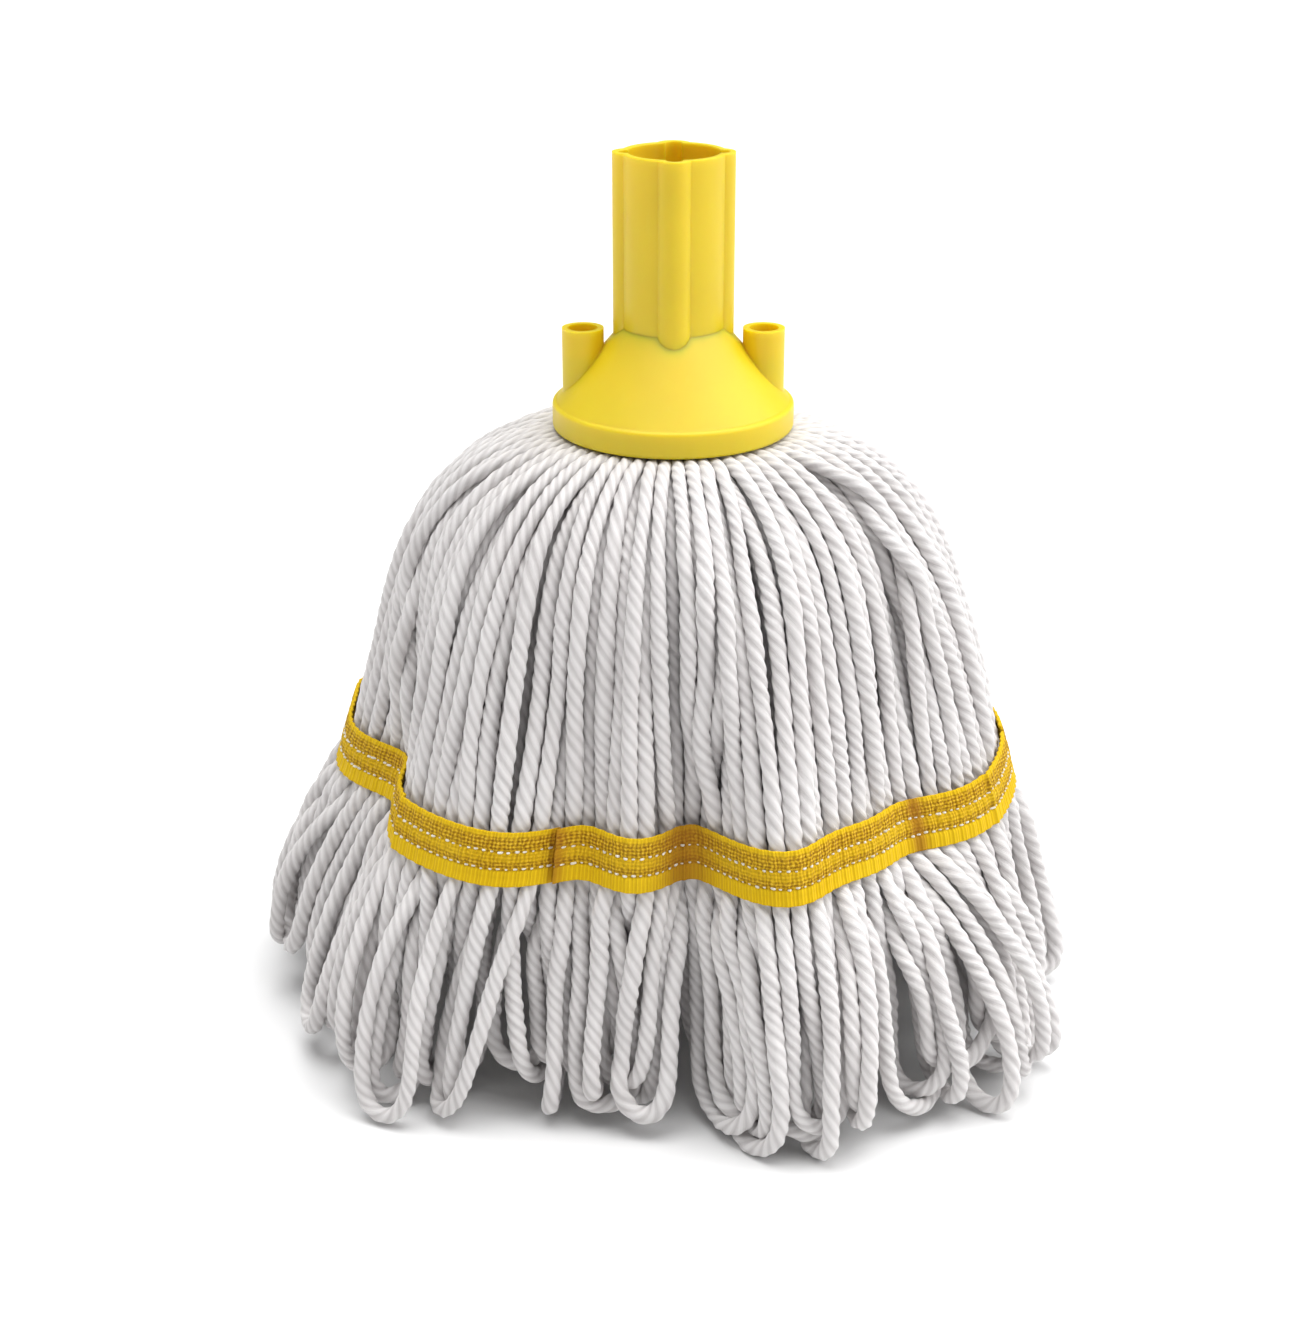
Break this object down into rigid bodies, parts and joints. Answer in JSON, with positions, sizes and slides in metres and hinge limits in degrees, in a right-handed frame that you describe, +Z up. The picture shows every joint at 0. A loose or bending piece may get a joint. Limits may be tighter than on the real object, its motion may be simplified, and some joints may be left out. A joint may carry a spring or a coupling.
{
  "type": "string mop head",
  "caption": "Socket string mop head: yellow plastic handle socket over a skirt of looped twisted white yarn with a sewn spreader tape.",
  "frame": {"origin": "on the floor under the handle axis, at the middle of the yarn's footprint", "axes": "+Z up along the handle axis, -Y towards the front flap, +X to the right seen from the front"},
  "size_m": [0.2671, 0.2184, 0.273],
  "materials": {
    "socket_plastic": "moulded polypropylene, satin",
    "yarn": "twisted off-white yarn",
    "tape": "woven ribbed yellow tape",
    "thread": "white sewing thread"
  },
  "bodies": {
    "socket": {"socket": "socket_plastic", "handle_tube": "socket_plastic", "clamp_plate": "socket_plastic", "yarn_core": "yarn", "centre_tape": "tape"},
    "front_flap": {"front_hank_1": "yarn", "front_hank_2": "yarn", "front_hank_3": "yarn", "front_hank_4": "yarn", "front_hank_5": "yarn", "front_hank_6": "yarn", "front_hank_7": "yarn", "front_hank_8": "yarn", "front_tape": "tape", "front_stitches_upper": "thread", "front_stitches_lower": "thread"},
    "back_flap": {"back_hank_1": "yarn", "back_hank_2": "yarn", "back_hank_3": "yarn", "back_hank_4": "yarn", "back_hank_5": "yarn", "back_hank_6": "yarn", "back_hank_7": "yarn", "back_hank_8": "yarn", "back_tape": "tape", "back_stitches_upper": "thread", "back_stitches_lower": "thread"}
  },
  "joints": [
    {"name": "front_flap_swing", "type": "hinge", "parent": "socket", "child": "front_flap", "pos_m": [-0.00678, -0.03332, 0.192], "axis": [-0.9799, 0.1994, 0], "range_deg": [0, 30], "stiffness_Nm_per_rad": 2, "springref_deg": -5.73},
    {"name": "back_flap_swing", "type": "hinge", "parent": "socket", "child": "back_flap", "pos_m": [0.00678, 0.03332, 0.192], "axis": [0.9799, -0.1994, 0], "range_deg": [0, 30], "stiffness_Nm_per_rad": 2, "springref_deg": -5.73}
  ]
}
